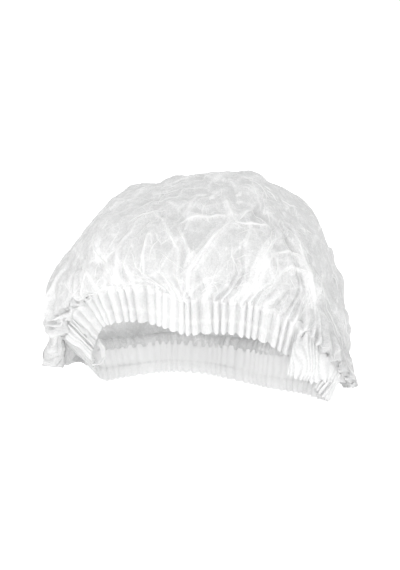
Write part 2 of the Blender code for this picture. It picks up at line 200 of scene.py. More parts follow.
edge_ring = edge_places(rim_rows)
edge_steps = np.linalg.norm(np.roll(edge_ring, -1, axis=0) - edge_ring, axis=1)
edge_shares = np.concatenate(([0.0], np.cumsum(edge_steps))) / edge_steps.sum()
rim_length = edge_steps.sum()


def rim_at(shares):
    """The rim's rows at these shares of the way round."""
    shares = np.mod(shares, 1.0)
    wrapped = np.vstack((rim_rows, rim_rows[:1]))
    return np.stack([np.interp(shares, edge_shares, column) for column in wrapped.T], axis=1)


right_end = edge_shares[RIM_STEPS * RIGHT_END_ROW]
left_end = edge_shares[RIM_STEPS * LEFT_END_ROW]
rear_span = (left_end - right_end) % 1.0
RUFFLES = REAR_RUFFLES + FRONT_RUFFLES
left_column = REAR_RUFFLES * REAR_COLUMNS
columns = left_column + FRONT_RUFFLES * FRONT_COLUMNS
ruffle_of = np.concatenate((
    np.arange(left_column) / REAR_COLUMNS,
    REAR_RUFFLES + np.arange(columns - left_column) / FRONT_COLUMNS,
))
share_of = np.where(
    ruffle_of <= REAR_RUFFLES,
    right_end + rear_span * ruffle_of / REAR_RUFFLES,
    right_end + rear_span + (1.0 - rear_span) * (ruffle_of - REAR_RUFFLES) / FRONT_RUFFLES,
)

# Each column's line: up the band, straight through the neck, out over the droop and up the crown
step = 1.0 / len(rim_rows)
row = rim_at(share_of)
edge = edge_places(row)
along = edge_places(rim_at(share_of + step)) - edge_places(rim_at(share_of - step))
outward = unit(np.stack((along[:, 1], -along[:, 0], np.zeros(columns)), axis=1))
lean = np.radians(row[:, 3:4])
rise = np.array((0.0, 0.0, 1.0)) * np.cos(lean) + outward * np.sin(lean)
slope = (rise * along).sum(axis=1, keepdims=True) / (along * along).sum(axis=1, keepdims=True)
rise = unit(rise - along * slope * HEM_FOLLOWS_SLOPE)
hem_tall = row[:, 4:5] * HEM_HEIGHT
seam = edge + rise * hem_tall
neck = seam + rise * NECK_LENGTH
puff = outward * row[:, 5:6] * SAG_OUT
shoulder = neck + 0.5 * puff + rise * 0.3 * row[:, 5:6] * SAG_OUT
sag = neck + puff - np.array((0.0, 0.0, 1.0)) * row[:, 6:7] * SAG_DROP
turn = np.arctan2(row[:, 1], row[:, 0])
cosine, sine = np.cos(turn), np.sin(turn)
side_share = np.copysign(np.abs(cosine) ** (2.0 / SECTION_SQUARENESS), cosine)
back_share = np.copysign(np.abs(sine) ** (2.0 / SECTION_SQUARENESS), sine)
below_neck = shoulder - rise * 2.0 * np.linalg.norm(shoulder - neck, axis=1, keepdims=True)
knots = [below_neck, neck, shoulder, sag]
for left, left_up, right, right_up, front, front_up, back, back_up in SECTIONS:
    x = side_share * np.where(side_share > 0, right * REACH_RIGHT, left * REACH_LEFT)
    y = back_share * np.where(back_share > 0, back * REACH_BACK, front * REACH_FRONT)
    side_up = np.where(side_share > 0, right_up, left_up)
    middle_up = np.where(back_share > 0, back_up, front_up)
    up = side_up + (middle_up - side_up) * np.abs(sine) ** 1.5
    knots.append(np.stack((x, y, up * CROWN_HEIGHT), axis=1))
apex_row = np.repeat(APEX[None, :], columns, axis=0)
knots += [apex_row, 2.0 * apex_row - knots[-1]]
line_places = [edge, seam]
for i in range(1, len(knots) - 2):
    for j in range(LINE_STEPS):
        line_places.append(eased(*knots[i - 1:i + 3], j / LINE_STEPS))
line_places.append(apex_row)
line_places = np.array(line_places)
line_steps = np.linalg.norm(np.diff(line_places, axis=0), axis=2)
line_lengths = np.vstack((np.zeros((1, columns)), np.cumsum(line_steps, axis=0)))
line_total = line_lengths[-1]

# The smooth cloth as a grid: rows up the band, then rows up the crown, closer near the seam
hem_levels = np.linspace(0.0, 1.0, HEM_ROWS + 1)
crown_levels = np.linspace(0.0, 1.0, CROWN_ROWS + 1)[1:] ** 1.22
hem_of = hem_tall[:, 0]
distances = np.vstack((
    hem_levels[:, None] * hem_of[None, :],
    hem_of[None, :] + crown_levels[:-1, None] * (line_total - hem_of)[None, :],
))
smooth_cloth = np.empty(distances.shape + (3,))
for i in range(columns):
    for axis in range(3):
        smooth_cloth[:, i, axis] = np.interp(
            distances[:, i], line_lengths[:, i], line_places[:, i, axis]
        )
smooth_cloth += TO_ORIGIN
smooth_cloth[..., 2] -= TOP_LOWERED * smooth((smooth_cloth[..., 2] - 0.08) / 0.09)
too_far = np.maximum(smooth_cloth[..., 0] - RIGHT_LIMIT, 0.0)
smooth_cloth[..., 0] += RIGHT_GIVE * (1.0 - np.exp(-too_far / RIGHT_GIVE)) - too_far
from_side = (smooth_cloth[..., 0] - FULLER_SIDE) / FULLER_WIDE
from_up = (smooth_cloth[..., 2] - FULLER_UP) / FULLER_WIDE
smooth_cloth += np.exp(-from_side**2 - from_up**2)[..., None] * FULLER_PUSH
tangent = unit(np.roll(smooth_cloth, -2, axis=1) - np.roll(smooth_cloth, 2, axis=1))
upward = unit(np.gradient(smooth_cloth, axis=0))
facing = unit(np.cross(tangent, upward))
past_hem = distances - hem_of[None, :]
ruffle_grid = np.repeat(ruffle_of[None, :], len(distances), axis=0)


def waves(places, size, seed):
    """Soft random waves of about this size, from -1 to 1, over any places."""
    luck = np.random.default_rng(seed)
    total = np.zeros(places.shape[:-1])
    for i in range(9):
        direction = unit(luck.normal(size=3))
        length = size * luck.uniform(0.7, 1.6)
        total += np.sin(places @ direction * (2.0 * math.pi / length) + luck.uniform(0, 6.28))
    return total / 3.2


# The pleats. A hot bar presses the sheet's edge into pleats about 5 mm apart, doubled over the
# elastic. Each is a rounded pillar that runs out into the crown. They are deep in front, with finer
# ones between, and at the two ends, and shallow along the rear band.
PLEAT_DEPTH = 0.0019
FINE_PLEAT = 0.00045
REAR_PLEAT_DEPTH = 0.0005
PLEAT_BULGE = 0.0006
REAR_PLEATS_PER_RUFFLE = 2
PINCH_UP = 0.0105
PINCH_WIDTH = 0.0016
PLEAT_HEIGHTS = (0.35, 1.65)
PLEAT_LENGTHS = (0.022, 0.065)
FINE_PER_RUFFLE = 2.37
FLAP_SIDE, FLAP_WIDTH = -0.031, 0.013
END_RUFFLES = 3.2
chance = np.random.default_rng(11)
rear_pleats = REAR_RUFFLES * REAR_PLEATS_PER_RUFFLE
all_pleats = rear_pleats + FRONT_RUFFLES
pleat_high = chance.uniform(*PLEAT_HEIGHTS, all_pleats)
pleat_long = chance.uniform(*PLEAT_LENGTHS, all_pleats) * chance.choice((0.6, 1.0, 1.8), all_pleats)
end_near = np.minimum(
    np.abs((ruffle_grid + RUFFLES / 2) % RUFFLES - RUFFLES / 2),
    np.abs(ruffle_grid - REAR_RUFFLES),
)
near_end = np.exp(-(end_near / END_RUFFLES) ** 2)
drift = 0.19 * np.sin(ruffle_grid * 1.7 + 0.4) + 0.18 * np.sin(ruffle_grid * 0.77 + 2.0)
wander = waves(smooth_cloth, 0.035, 5) * 0.2 * smooth(past_hem / 0.03)
on_rear = ruffle_grid < REAR_RUFFLES
pleat_at = ruffle_grid + drift + wander
pleat_at = np.where(
    pleat_at < REAR_RUFFLES, pleat_at * REAR_PLEATS_PER_RUFFLE, pleat_at + rear_pleats - REAR_RUFFLES
)
pleat_number = np.floor(pleat_at).astype(int) % all_pleats
pleat_part = pleat_at - np.floor(pleat_at)
swing = np.cos(2.0 * math.pi * (pleat_part - 0.5))
crest = 0.5 + 0.5 * swing
rounded_swing = np.sign(swing) * np.abs(swing) ** 0.65
run_out = 1.0 - smooth(past_hem / (pleat_long[pleat_number] * (1.0 + 0.9 * near_end)))
sharp = smooth(past_hem / 0.012)
pleat_shape = rounded_swing * (1.0 - sharp) + (2.0 * crest**1.6 - 0.9) * sharp
# One stretch of the front band is a doubled flap that stays nearly smooth
flap = np.exp(-((smooth_cloth[..., 0] - FLAP_SIDE) / FLAP_WIDTH) ** 2) * (smooth_cloth[..., 1] < -0.03)
pleat_depth = np.where(on_rear, REAR_PLEAT_DEPTH, PLEAT_DEPTH)
pleat_depth = pleat_depth + (PLEAT_DEPTH - pleat_depth) * np.clip(near_end * 1.5, 0.0, 1.0)
pleat_lift = pleat_depth * run_out * pleat_shape * (1.0 + 0.3 * near_end) * (1.0 + 0.5 * sharp)
pleat_lift = pleat_lift * (pleat_high[pleat_number] * crest + 0.9 * (1.0 - crest))
fine_at = FINE_PER_RUFFLE * ruffle_grid + 1.1 * np.sin(ruffle_grid * 0.9)
fine_at = fine_at + 0.5 * waves(smooth_cloth, 0.02, 12)
fine = FINE_PLEAT * np.cos(2.0 * math.pi * fine_at) * (1.0 - smooth(past_hem / 0.016))
pleat_lift = (pleat_lift + np.where(on_rear, 0.0, fine)) * (1.0 - 0.75 * flap)
pinch = np.exp(-((distances - PINCH_UP) / PINCH_WIDTH) ** 2)
pleat_lift = pleat_lift * (1.0 - 0.5 * pinch)
bulge_side = np.where(on_rear, -1.0, 1.0)
bulge = PLEAT_BULGE * bulge_side * np.sin(2.0 * math.pi * (pleat_part - 0.5))
bulge = bulge * run_out * (1.0 - smooth(past_hem / 0.02)) * np.where(on_rear, 0.3, 1.0)

# The crown: thin sheet that was folded flat in its packet, so it keeps sharp creases between soft
# facets. Long folds run up from the gathers, and the main ones are charted as they are seen from
# the front, in millimetres from the middle and from the table.
FoldLine = namedtuple("FoldLine", "high wide places")
FOLD_LINES = (
    FoldLine(4.0, 4.5, (
        (18, 130), (8, 120), (0, 111), (-8, 102), (-13, 95), (-14, 82), (-19, 74), (-29, 60),
    )),
    FoldLine(3.4, 4.5, ((59, 122), (51, 114), (45, 105), (39, 94), (37, 86), (30, 74), (24, 65))),
    FoldLine(3.2, 4.0, ((-85, 118), (-77, 98), (-72, 89), (-67, 79), (-61, 70))),
    FoldLine(2.6, 3.0, ((23, 129), (18, 141), (14, 154))),
    FoldLine(2.4, 3.0, ((23, 129), (30, 137), (37, 143))),
    FoldLine(2.4, 3.0, ((23, 129), (38, 129), (51, 126))),
    FoldLine(3.2, 3.6, ((71, 122), (75, 102), (80, 82), (83, 63))),
    FoldLine(1.8, 2.6, ((75, 102), (62, 107), (50, 105))),
    FoldLine(1.6, 2.6, ((78, 90), (64, 96), (54, 90))),
    FoldLine(2.4, 3.0, ((94, 92), (90, 82), (83, 70))),
    FoldLine(1.5, 1.8, ((-7, 153), (-11, 145), (-14, 138))),
    FoldLine(1.5, 1.8, ((-32, 129), (-27, 118), (-21, 108))),
    FoldLine(1.4, 1.8, ((-22, 127), (-17, 117), (-13, 106))),
    FoldLine(1.4, 2.0, ((-21, 130), (-2, 134), (16, 135))),
    FoldLine(1.3, 1.8, ((-41, 139), (-36, 134), (-32, 130))),
    FoldLine(1.6, 2.2, ((-64, 102), (-59, 91), (-54, 79))),
    FoldLine(1.6, 2.4, ((-98, 104), (-92, 92), (-84, 78))),
    FoldLine(1.4, 2.2, ((-44, 120), (-49, 104), (-48, 88))),
)
GATHER_FOLDS = 23
GATHER_LIFT = 0.0036
# size of the facets, how many, and how far they stand off
CREASE_SIZES = ((0.042, 85, 0.0036), (0.020, 360, 0.0027), (0.010, 1400, 0.0012))

seen_up = smooth_cloth[..., 2] * math.cos(up_angle) + smooth_cloth[..., 1] * math.sin(up_angle)
seen = np.stack((smooth_cloth[..., 0], seen_up), axis=-1) * 1000.0
facing_front = smooth((-facing[..., 1] + 0.15) / 0.4) * smooth(past_hem / 0.008)
fold_lift = np.zeros(distances.shape)
fold_mark = np.zeros(distances.shape)
for line in FOLD_LINES:
    places = np.array(line.places, float)
    nearest = np.full(distances.shape, 1e3)
    taper = np.ones(distances.shape)
    for i in range(len(places) - 1):
        run = places[i + 1] - places[i]
        part = np.clip(((seen - places[i]) @ run) / (run @ run), 0.0, 1.0)
        aside = np.linalg.norm(seen - places[i] - part[..., None] * run, axis=-1)
        how_far = (i + part) / (len(places) - 1)
        taper = np.where(aside < nearest, np.sin(math.pi * (0.12 + 0.76 * how_far)), taper)
        nearest = np.minimum(nearest, aside)
    shape = np.exp(-(nearest / line.wide) ** 1.35) * taper
    fold_lift += shape * line.high * 0.001
    # Whiter along each fold: partly the doubled cloth, partly painted highlight on its middle line and
    # rims
    doubled = smooth((line.wide - nearest) / 1.2) * (line.high > 2.5)
    rims = np.exp(-((nearest - line.wide) / 0.8) ** 2) * (line.high > 2.5)
    middle = np.exp(-(nearest / 1.0) ** 2)
    fold_mark = np.maximum(fold_mark, (0.32 * doubled + 0.5 * rims + 0.9 * middle) * taper)
fold_lift *= facing_front
fold_mark *= facing_front

gather_at = ruffle_grid * GATHER_FOLDS / RUFFLES + 0.2 * waves(smooth_cloth, 0.07, 8)
gather_number = np.floor(gather_at).astype(int) % GATHER_FOLDS
gather_high = chance.uniform(0.3, 1.0, GATHER_FOLDS)
gather_long = chance.uniform(0.06, 0.15, GATHER_FOLDS)
gather_crest = np.abs(np.sin(math.pi * gather_at)) ** 3.5
gather_fade = smooth(past_hem / 0.03) * (1.0 - smooth(past_hem / gather_long[gather_number]))
gather_lift = GATHER_LIFT * gather_high[gather_number] * gather_crest * gather_fade
gather_lift = gather_lift * (1.0 + 0.8 * near_end)

crease_lift = np.zeros(distances.shape)
crease_mark = np.zeros(distances.shape)
facet_painted_light_and_shade = np.zeros(distances.shape)
crown_places = smooth_cloth[HEM_ROWS:].reshape(-1, 3) * (1.0, 1.0, 0.7)
for size, count, depth in CREASE_SIZES:
    picked = chance.choice(len(crown_places), count, replace=False)
    tilts = chance.normal(0.0, 0.8, (count, 3))
    heights = chance.uniform(-0.5, 0.5, count)
    tree = kdtree.KDTree(count)
    for i, spot in enumerate(picked):
        tree.insert(crown_places[spot], i)
    tree.balance()
    found = [tree.find_n(place, 4) for place in crown_places]
    which = np.array([[hit[1] for hit in hits] for hits in found])
    away = np.array([[hit[2] for hit in hits] for hits in found])
    weight = np.exp(-(away - away[:, :1]) / (0.07 * size))
    offset = crown_places[:, None, :] - crown_places[picked][which]
    plane = heights[which] + (offset * tilts[which]).sum(axis=2) / size
    facet = (weight * plane).sum(axis=1) / weight.sum(axis=1)
    border = np.exp(-(away[:, 1] - away[:, 0]) / 0.0009)
    crease_lift[HEM_ROWS:] += (facet * depth).reshape(-1, columns)
    crease_mark[HEM_ROWS:] += (border * depth / 0.0030).reshape(-1, columns)
    # The facet's height, kept for painted light and shade on it
    facet_painted_light_and_shade[HEM_ROWS:] += (facet * min(size / 0.020, 1.0)).reshape(-1, columns)
past_gathers = smooth(past_hem / 0.035)
top_fade = smooth((line_total[None, :] - distances) / 0.02) * 0.6 + 0.4
crease_lift *= (0.12 + 0.88 * past_gathers) * top_fade
soft_waves = 0.0022 * waves(smooth_cloth, 0.075, 21) * smooth(past_hem / 0.02)
lift = pleat_lift + fold_lift + gather_lift + crease_lift + soft_waves
cloth = smooth_cloth + facing * lift[..., None] + tangent * bulge[..., None]

# The folded edge is scalloped, and no cloth goes below the table
scallop = 1.0 - smooth(distances / 0.006)
low_crest = np.where(on_rear, crest, 1.0 - crest)
cloth[..., 2] += 0.0015 * scallop * low_crest * (past_hem < 0.0)
cloth[..., 2] = np.maximum(cloth[..., 2], 0.0004)


def cloth_piece(name, places, closed, marks, tip=None):
    """A sheet over a grid of places, with how white each spot is kept on it: from creases and doubled
    cloth, and from light and shade painted in.
    """
    height, width = places.shape[:2]
    spots = places.reshape(-1, 3)
    number = np.arange(height * width).reshape(height, width)
    wide = width if closed else width - 1
    here = number[:-1, :wide]
    ahead = np.roll(number, -1, axis=1)[:-1, :wide]
    above = number[1:, :wide]
    above_ahead = np.roll(number, -1, axis=1)[1:, :wide]
    quads = np.stack((here, ahead, above_ahead, above), axis=-1).reshape(-1, 4).tolist()
    if tip is not None:
        quads += [(number[-1, i], number[-1, (i + 1) % width], height * width) for i in range(width)]
        spots = np.vstack((spots, tip))
        marks = np.append(marks.reshape(-1), marks[-1].mean())
    mesh = bpy.data.meshes.new(name)
    mesh.from_pydata(spots.tolist(), [], quads)
    # The marks: how white each spot is, from creases, doubled cloth and painted light and shade
    mark = mesh.attributes.new("crease", "FLOAT", "POINT")
    mark.data.foreach_set("value", np.clip(marks, 0.0, 1.0).reshape(-1).astype(np.float32))
    mesh.shade_smooth()
    piece = bpy.data.objects.new(name, mesh)
    bpy.context.scene.collection.objects.link(piece)
    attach(piece, "root")
    return piece


def crease_lines(nodes, links, place, scale, wide, broken):
    """A net of thin straight creases with this many cells to a metre, broken off here and there."""
    warp = nodes.new("ShaderNodeTexNoise")
    warp.inputs["Scale"].default_value = scale * 1.3
    bend = nodes.new("ShaderNodeVectorMath")
    bend.operation = "MULTIPLY_ADD"
    bend.inputs[1].default_value = (0.08 / scale, 0.08 / scale, 0.08 / scale)
    tall = nodes.new("ShaderNodeMapping")
    tall.inputs["Rotation"].default_value = (0.3, 0.2, 0.5)
    tall.inputs["Scale"].default_value = (1.15, 1.0, 0.55)
    net = nodes.new("ShaderNodeTexVoronoi")
    net.feature = "DISTANCE_TO_EDGE"
    net.inputs["Scale"].default_value = scale
    line = nodes.new("ShaderNodeMapRange")
    line.interpolation_type = "SMOOTHSTEP"
    line.inputs["From Min"].default_value = 0.0
    line.inputs["From Max"].default_value = wide * scale
    line.inputs["To Min"].default_value = 1.0
    line.inputs["To Max"].default_value = 0.0
    gaps = nodes.new("ShaderNodeTexNoise")
    gaps.inputs["Scale"].default_value = scale * 0.7
    gaps.inputs["Detail"].default_value = 1.0
    kept = nodes.new("ShaderNodeMapRange")
    kept.inputs["From Min"].default_value = broken
    kept.inputs["From Max"].default_value = broken + 0.12
    both = nodes.new("ShaderNodeMath")
    both.operation = "MULTIPLY"
    links.new(place, warp.inputs["Vector"])
    links.new(place, gaps.inputs["Vector"])
    links.new(warp.outputs["Color"], bend.inputs[0])
    links.new(place, bend.inputs[2])
    links.new(bend.outputs["Vector"], tall.inputs["Vector"])
    links.new(tall.outputs["Vector"], net.inputs["Vector"])
    links.new(net.outputs["Distance"], line.inputs["Value"])
    links.new(gaps.outputs["Fac"], kept.inputs["Value"])
    links.new(line.outputs["Result"], both.inputs[0])
    links.new(kept.outputs["Result"], both.inputs[1])
    return both.outputs["Value"]


def added(nodes, links, first, second, weight):
    """The first value plus this share of the second."""
    total = nodes.new("ShaderNodeMath")
    total.operation = "MULTIPLY_ADD"
    total.inputs[1].default_value = weight
    links.new(second, total.inputs[0])
    links.new(first, total.inputs[2])
    return total.outputs["Value"]


def nonwoven(name, thin, folded, see_through, creased):
    """Matt spunbond cloth: paler where it is creased or doubled and where its marks carry painted light,
    with fibres and a faint mottle.
    """
    material = bpy.data.materials.new(name)
    material.use_nodes = True
    nodes, links = material.node_tree.nodes, material.node_tree.links
    shader = nodes["Principled BSDF"]
    shader.inputs["Roughness"].default_value = 0.72
    shader.inputs["Specular IOR Level"].default_value = 0.25
    shader.inputs["Sheen Weight"].default_value = 0.1
    shader.inputs["Sheen Roughness"].default_value = 0.6
    place = nodes.new("ShaderNodeTexCoord").outputs["Object"]
    # The marks on each spot: creases, doubled cloth and painted light and shade
    crease = nodes.new("ShaderNodeAttribute")
    crease.attribute_name = "crease"
    mottle = nodes.new("ShaderNodeTexNoise")
    mottle.inputs["Scale"].default_value = 190.0
    mottle.inputs["Detail"].default_value = 3.0
    fibre = nodes.new("ShaderNodeTexNoise")
    fibre.inputs["Scale"].default_value = 800.0
    fibre.inputs["Detail"].default_value = 5.0
    fibre.inputs["Roughness"].default_value = 0.75
    fibre.inputs["Distortion"].default_value = 1.5
    links.new(place, mottle.inputs["Vector"])
    links.new(place, fibre.inputs["Vector"])
    white = added(nodes, links, crease.outputs["Fac"], mottle.outputs["Fac"], 0.22)
    white = added(nodes, links, white, fibre.outputs["Fac"], 2.2)
    height = added(nodes, links, fibre.outputs["Fac"], mottle.outputs["Fac"], 0.5)
    for scale, wide, broken, share in ((30.0, 0.0008, 0.52, 0.2), (75.0, 0.0006, 0.50, 0.35)):
        lines = crease_lines(nodes, links, place, scale, wide, broken)
        white = added(nodes, links, white, lines, share * creased)
        height = added(nodes, links, height, lines, 2.2 * share * creased)
    colour = nodes.new("ShaderNodeValToRGB")
    colour.color_ramp.elements[0].position = 0.54
    colour.color_ramp.elements[0].color = (*thin, 1.0)
    colour.color_ramp.elements[1].position = 0.90
    colour.color_ramp.elements[1].color = (*folded, 1.0)
    share = nodes.new("ShaderNodeMath")
    share.operation = "MULTIPLY"
    share.inputs[1].default_value = 0.45
    links.new(white, share.inputs[0])
    links.new(share.outputs["Value"], colour.inputs["Fac"])
    links.new(colour.outputs["Color"], shader.inputs["Base Color"])
    bump = nodes.new("ShaderNodeBump")
    bump.inputs["Strength"].default_value = 0.7
    bump.inputs["Distance"].default_value = 0.0003
    links.new(height, bump.inputs["Height"])
    links.new(bump.outputs["Normal"], shader.inputs["Normal"])
    glow = nodes.new("ShaderNodeBsdfTranslucent")
    links.new(colour.outputs["Color"], glow.inputs["Color"])
    links.new(bump.outputs["Normal"], glow.inputs["Normal"])
    mix = nodes.new("ShaderNodeMixShader")
    mix.inputs["Fac"].default_value = see_through
    links.new(shader.outputs["BSDF"], mix.inputs[1])
    links.new(glow.outputs["BSDF"], mix.inputs[2])
    links.new(mix.outputs["Shader"], nodes["Material Output"].inputs["Surface"])
    return material


white_nonwoven = nonwoven("white_nonwoven", (0.64, 0.643, 0.643), (0.96, 0.96, 0.96), 0.28, 1.0)
# How white each spot is: most on the folds and the pleats' crests, where the cloth is doubled and a
# highlight is painted as well, and near the front seam, where it is gathered. Painted shade darkens the
# lower right flank and the rear, and painted light makes the left part whiter, most at the left end,
# where the gathers lie close
# Painted shade: the lower right flank is made darker
right_flank_painted_shade = smooth((smooth_cloth[..., 0] - 0.088) / 0.02) * smooth((0.11 - smooth_cloth[..., 2]) / 0.04)
# Painted light: the left part is made whiter, and more at the left end near the band, where the gathers
# also lie close
to_left = smooth((-0.02 - smooth_cloth[..., 0]) / 0.07)
left_gather_painted_light = to_left * near_end * (1.0 - smooth(past_hem / 0.05))
by_seam = 1.0 - smooth(past_hem / (0.014 + 0.009 * waves(smooth_cloth, 0.012, 41)))
# Painted shade: on the rear the crests' and seam's whitening is cut to 0.15, so the inner back wall seen
# through the mouth stays darker
rear_painted_shade_cut = np.where(on_rear, 0.15, 1.0)
marks = 0.17 + 0.26 * crease_mark + 0.66 * fold_mark - 0.04 * right_flank_painted_shade
marks = marks + 0.07 * to_left + 0.25 * left_gather_painted_light
# Whiter on the pleats' crests: partly doubled cloth, partly painted highlight
marks = marks + (0.40 * crest**2 * run_out + 0.36 * by_seam) * rear_painted_shade_cut
# Painted light and shade: facets that stand out are made whiter and sunk ones darker
marks = marks + 0.09 * np.clip(facet_painted_light_and_shade, -1.5, 1.2)
crown = cloth_piece("crown_sheet", cloth[HEM_ROWS:], True, marks[HEM_ROWS:], cloth[-1].mean(axis=0))
crown.data.materials.append(white_nonwoven)
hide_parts("crown")

# The pressed creases: thin raised ridges that the cloth keeps where it was folded double. The
# main folds each carry one, and many short ones run up and aside from the gathers.
RIDGE_STEP = 0.0015
RIDGE_TALL, RIDGE_WIDE = 0.0009, 0.0015
# aside and height of the ridge's section, as shares of its width and height
RIDGE_SECTION = ((-0.5, -0.25), (-0.2, 0.45), (0.0, 1.0), (0.2, 0.45), (0.5, -0.25))
RIDGE_WHITE = 0.95
LOOSE_CREASES = 300
LOOSE_ROWS = 97

front_spots = [
    (r, c) for r in range(HEM_ROWS + 2, len(distances) - 2) for c in range(0, columns, 2)
    if facing[r, c, 1] < 0.1
]
front_tree = kdtree.KDTree(len(front_spots))
for i, (r, c) in enumerate(front_spots):
    front_tree.insert((seen[r, c, 0], seen[r, c, 1], 0.0), i)
front_tree.balance()
creases = []
for line in FOLD_LINES:
    path = [front_spots[front_tree.find((x, up, 0.0))[1]] for x, up in line.places]
    path = [(float(r), float(c)) for r, c in path]
    creases.append((path, 0.9 + 0.25 * line.high))
for i in range(LOOSE_CREASES):
    r = HEM_ROWS + 3 + chance.uniform(0, 1) ** 2.0 * LOOSE_ROWS
    c = chance.uniform(0, columns)
    path = [(r, c)]
    heading = math.pi / 2 + chance.normal(0, 0.25 + 0.0067 * r)
    for leg in range(chance.integers(1, 4)):
        reach = chance.uniform(0.005, 0.013)
        low, side = int(r), int(c) % columns
        across = np.linalg.norm(cloth[low, (side + 2) % columns] - cloth[low, side - 2]) / 4
        upright = np.linalg.norm(cloth[low + 1, side] - cloth[low - 1, side]) / 2
        r = min(r + reach * math.sin(heading) / upright, len(distances) - 12.0)
        r = max(r, HEM_ROWS + 1.0)
        c = c + reach * math.cos(heading) / max(across, 0.0006)
        path.append((r, c))
        heading += chance.choice((-1, 1)) * chance.uniform(0.1, 0.5)
    creases.append((path, chance.uniform(0.45, 1.0)))


def cloth_spot(grid, r, c):
    """The grid's value between its rows and columns."""
    low, side = int(r), int(math.floor(c))
    up, over = r - low, c - side
    here = grid[low, side % columns] * (1 - over) + grid[low, (side + 1) % columns] * over
    above = grid[low + 1, side % columns] * (1 - over) + grid[low + 1, (side + 1) % columns] * over
    return here * (1 - up) + above * up


ridge_spots, ridge_faces = [], []
for path, strength in creases:
    spots, outs = [], []
    for (r0, c0), (r1, c1) in zip(path, path[1:]):
        if abs(c1 - c0) > columns / 2:
            c1 = c1 + math.copysign(columns, c0 - c1)
        gap = np.linalg.norm(cloth_spot(cloth, r0, c0) - cloth_spot(cloth, r1, c1))
        for j in range(max(2, int(gap / RIDGE_STEP))):
            part = j / max(2, int(gap / RIDGE_STEP))
            spots.append(cloth_spot(cloth, r0 + (r1 - r0) * part, c0 + (c1 - c0) * part))
            outs.append(cloth_spot(facing, r0 + (r1 - r0) * part, c0 + (c1 - c0) * part))
    spots, outs = np.array(spots), np.array(outs)
    ways = unit(np.gradient(spots, axis=0))
    sides = unit(np.cross(outs, ways))
    taper = np.sin(np.linspace(0.05, math.pi - 0.05, len(spots))) ** 0.6 * strength
    first = len(ridge_spots)
    for spot, out, side, size in zip(spots, outs, sides, taper):
        for aside, lifted in RIDGE_SECTION:
            ridge_spots.append(spot + side * aside * RIDGE_WIDE * size + out * lifted * RIDGE_TALL * size)
    points = len(RIDGE_SECTION)
    for j in range(len(spots) - 1):
        for k in range(points - 1):
            a = first + j * points + k
            ridge_faces.append((a, a + 1, a + points + 1, a + points))
ridge_mesh = bpy.data.meshes.new("crown_crease_ridges")
ridge_mesh.from_pydata([list(spot) for spot in ridge_spots], [], ridge_faces)
ridge_mark = ridge_mesh.attributes.new("crease", "FLOAT", "POINT")
ridge_mark.data.foreach_set("value", np.full(len(ridge_spots), RIDGE_WHITE, np.float32))
ridge_mesh.shade_smooth()
ridge_mesh.materials.append(white_nonwoven)
crown_ridges = bpy.data.objects.new("crown_crease_ridges", ridge_mesh)
bpy.context.scene.collection.objects.link(crown_ridges)
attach(crown_ridges, "root")

# The two bands: the pleated edge of the same sheet, doubled to the inside over the elastic. The
# raw edge of the doubled part stands up inside as a row of small rounded teeth.
BUNCH_ROOM = 0.0100
DOUBLED_GAP = 0.0016
TEETH_TALL = 0.0044
TEETH_PER_RUFFLE = 1.8

# The bands' cloth is paler than the crown's because it lies doubled, and partly as painted light that
# lifts the bands in the shade inside the mouth
gathered_nonwoven = nonwoven("gathered_nonwoven", (0.80, 0.805, 0.805), (0.99, 0.99, 0.99), 0.42, 0.3)


def doubled_band(name, first, last):
    """One band between two columns, from the seam down outside, round its fold and up inside."""
    outside = cloth[:HEM_ROWS + 1, first:last]
    levels = hem_levels[:, None, None]
    inwards = facing[:HEM_ROWS + 1, first:last]
    gap = DOUBLED_GAP * (0.25 + 0.75 * smooth(levels / 0.25))
    more = 0.35 * levels * pleat_lift[:HEM_ROWS + 1, first:last, None]
    inside = outside - inwards * gap + inwards * more
    hollow = 1.0 - crest[:HEM_ROWS + 1, first:last, None]
    tooth_at = (TEETH_PER_RUFFLE * ruffle_grid + 1.5 * drift)[:HEM_ROWS + 1, first:last, None]
    tooth = np.clip(0.4 + 1.3 * np.cos(2.0 * math.pi * tooth_at), 0.0, 1.0)
    in_row = np.exp(-((outside[..., :1] + 0.008) / 0.058) ** 4)
    tooth = tooth * (0.2 + 0.8 * in_row) * (0.85 + 0.15 * np.sin(tooth_at * 2.3))
    teeth = TEETH_TALL * levels**4 * (tooth - 0.10)
    inside = inside + upward[:HEM_ROWS + 1, first:last] * teeth
    line = np.exp(-((distances[:HEM_ROWS + 1, first:last, None] - PINCH_UP) / 0.0006) ** 2)
    inside = inside - inwards * 0.0006 * line
    inside[..., 2] = np.maximum(inside[..., 2], 0.0004)
    fold = (outside[:1] + inside[:1]) / 2 - upward[:1, first:last] * 0.0003
    fold[..., 2] = np.maximum(fold[..., 2], 0.0002)
    places = np.concatenate((outside[::-1], fold, inside))
    # Outside: whiter on the pleats' crests, partly doubled cloth and partly painted highlight, and along
    # the pinched line over the elastic
    whites = 0.15 + 0.5 * crest[:HEM_ROWS + 1, first:last] + 0.3 * pinch[:HEM_ROWS + 1, first:last]
    # Inside: much whiter than outside, as painted light on the inner face, which lies in shade, with the
    # teeth's tips whiter as painted highlight; darker along the pinched line and below it
    inner_whites_with_painted_light = 0.8 + 0.2 * hollow[..., 0] - 0.5 * line[..., 0]
    inner_whites_with_painted_light = inner_whites_with_painted_light + 0.35 * (levels[..., 0] ** 3 * tooth[..., 0])
    inner_whites_with_painted_light = inner_whites_with_painted_light - 0.25 * (distances[:HEM_ROWS + 1, first:last] < PINCH_UP)
    marks = np.concatenate((whites[::-1], whites[:1], inner_whites_with_painted_light))
    piece = cloth_piece(name, places, False, marks)
    piece.data.materials.append(gathered_nonwoven)
    return piece


three_turns = np.concatenate((share_of - 1.0, share_of, share_of + 1.0))
unrolled = np.arange(3 * columns) - columns


